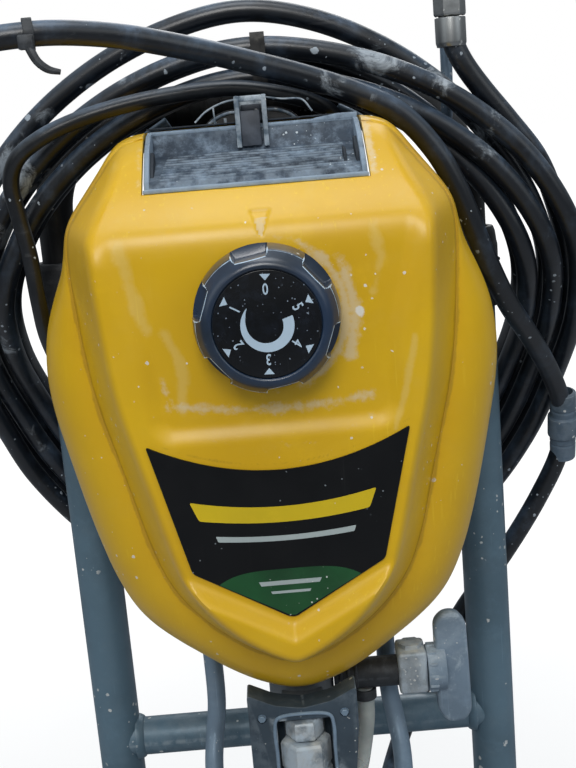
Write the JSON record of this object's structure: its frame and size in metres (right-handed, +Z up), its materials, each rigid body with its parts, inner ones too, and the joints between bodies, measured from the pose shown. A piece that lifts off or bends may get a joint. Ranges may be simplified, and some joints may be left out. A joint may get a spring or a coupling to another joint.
{
  "type": "airless paint sprayer",
  "caption": "Cart-mounted airless paint sprayer: electric piston pump behind a shield-shaped cover, coiled hose, spray gun, suction tube and push handle",
  "frame": {"origin": "centre of the footprint, on the floor", "axes": "+Z up, the cover and pressure knob face -Y, +X is to the right seen from the front"},
  "size_m": [0.3772, 0.3824, 0.9365],
  "materials": {
    "cover_yellow": "semi-gloss yellow moulding, scuffed",
    "frame_paint": "blue-grey powder coat",
    "black_plastic": "matte black moulding",
    "dark_plastic": "dark grey moulding",
    "knob_plastic": "dark blue-grey moulding",
    "label_film": "gloss black film",
    "steel": "plain machined steel",
    "cast": "die-cast aluminium",
    "armature": "laminated steel and windings",
    "hose_cover": "smooth black hose jacket",
    "rubber": "moulded rubber",
    "tyre_rubber": "moulded rubber",
    "grey_plastic": "grey moulding",
    "clear_tube": "milky tube",
    "red_plastic": "red moulding",
    "board": "circuit board",
    "black_paint": "black painted steel"
  },
  "bodies": {
    "cart": {"cart_frame": "frame_paint", "hose_hanger_left": "frame_paint", "hose_hanger_right": "frame_paint", "axle": "steel", "hub_cap_left": "dark_plastic", "hub_cap_right": "dark_plastic", "front_foot_left": "rubber", "front_foot_right": "rubber", "pail_hook": "frame_paint", "handle_collar_left": "black_plastic", "handle_collar_right": "black_plastic", "front_cover": "cover_yellow", "front_label": "label_film", "tool_tray": "dark_plastic", "tray_clip": "dark_plastic", "pressure_control": "steel", "rear_housing": "black_plastic", "motor_can": "steel", "gearbox_casting": "cast", "control_board": "board", "switch_bezel": "dark_plastic", "pump_manifold": "cast", "outlet_shroud": "dark_plastic", "outlet_fitting": "steel", "pump_cylinder": "cast", "inlet_valve_housing": "steel", "prime_valve": "steel", "suction_nut": "dark_plastic", "suction_tube": "black_plastic", "suction_strainer": "dark_plastic", "return_tube": "clear_tube", "spray_hose": "hose_cover", "hose_nut_pump": "steel", "power_cord": "hose_cover", "gun_swivel": "steel", "gun_fluid_tube": "grey_plastic", "gun_body": "dark_plastic", "gun_tip_guard": "dark_plastic", "gun_rest": "frame_paint"},
    "handle": {"handle_tube": "black_paint", "handle_grip": "rubber"},
    "handle_button_l": {"handle_button_left": "red_plastic"},
    "handle_button_r": {"handle_button_right": "red_plastic"},
    "wheel_left": {"wheel_rim_left": "black_plastic", "tyre_left": "tyre_rubber"},
    "wheel_right": {"wheel_rim_right": "black_plastic", "tyre_right": "tyre_rubber"},
    "knob": {"pressure_knob": "knob_plastic", "knob_dial": "label_film"},
    "rotor": {"motor_armature": "armature", "cooling_fan": "dark_plastic"},
    "step": {"step_gear": "steel"},
    "crank": {"crank_gear": "steel"},
    "pump_rod": {"crosshead_yoke": "steel", "piston_rod": "steel"},
    "switch_rocker": {"power_switch": "red_plastic"},
    "prime_lever": {"prime_valve_knob": "grey_plastic"},
    "inlet_pusher": {"inlet_push_button": "red_plastic"},
    "trigger": {"gun_trigger": "red_plastic"},
    "tip": {"gun_spray_tip": "red_plastic"}
  },
  "joints": [
    {"name": "handle_slide", "type": "slide", "parent": "cart", "child": "handle", "axis": [0, 0, 1], "range_m": [0, 0.26]},
    {"name": "handle_button_l_press", "type": "slide", "parent": "cart", "child": "handle_button_l", "axis": [0, -1, 0], "range_m": [0, 0.003]},
    {"name": "handle_button_r_press", "type": "slide", "parent": "cart", "child": "handle_button_r", "axis": [0, -1, 0], "range_m": [0, 0.003]},
    {"name": "wheel_left_spin", "type": "hinge", "parent": "cart", "child": "wheel_left", "pos_m": [-0.158, 0.09125, 0.1], "axis": [1, 0, 0], "continuous": true},
    {"name": "wheel_right_spin", "type": "hinge", "parent": "cart", "child": "wheel_right", "pos_m": [0.158, 0.09125, 0.1], "axis": [1, 0, 0], "continuous": true},
    {"name": "pressure_turn", "type": "hinge", "parent": "cart", "child": "knob", "pos_m": [0, -0.12225, 0.64], "axis": [0, 1, 0], "range_deg": [0, 300]},
    {"name": "motor_spin", "type": "hinge", "parent": "cart", "child": "rotor", "pos_m": [0, 0.02925, 0.642], "axis": [0, 1, 0], "continuous": true},
    {"name": "step_spin", "type": "hinge", "parent": "cart", "child": "step", "pos_m": [0.02566, -0.03075, 0.60875], "axis": [0, 1, 0], "continuous": true},
    {"name": "crank_spin", "type": "hinge", "parent": "cart", "child": "crank", "pos_m": [0, -0.03075, 0.567], "axis": [0, 1, 0], "continuous": true},
    {"name": "piston_stroke", "type": "slide", "parent": "cart", "child": "pump_rod", "axis": [0, 0, 1], "range_m": [-0.008, 0.008]},
    {"name": "switch_rock", "type": "hinge", "parent": "cart", "child": "switch_rocker", "pos_m": [-0.089, 0.04355, 0.595], "axis": [0, -1, 0], "range_deg": [0, 12]},
    {"name": "prime_turn", "type": "hinge", "parent": "cart", "child": "prime_lever", "pos_m": [0.0664, -0.04075, 0.433], "axis": [1, 0, 0], "range_deg": [0, 90]},
    {"name": "inlet_push", "type": "slide", "parent": "cart", "child": "inlet_pusher", "axis": [0, 1, 0], "range_m": [0, 0.003]},
    {"name": "trigger_pull", "type": "hinge", "parent": "cart", "child": "trigger", "pos_m": [0.116, -0.01175, 0.9075], "axis": [0, -1, 0], "range_deg": [0, 12]},
    {"name": "tip_reverse", "type": "hinge", "parent": "cart", "child": "tip", "pos_m": [0.046, -0.01175, 0.9135], "axis": [0, 0, 1], "range_deg": [0, 180]}
  ],
  "couplings": [
    {"joint": "step_spin", "follows": "motor_spin", "ratio": -0.3125},
    {"joint": "crank_spin", "follows": "motor_spin", "ratio": 0.086806}
  ]
}
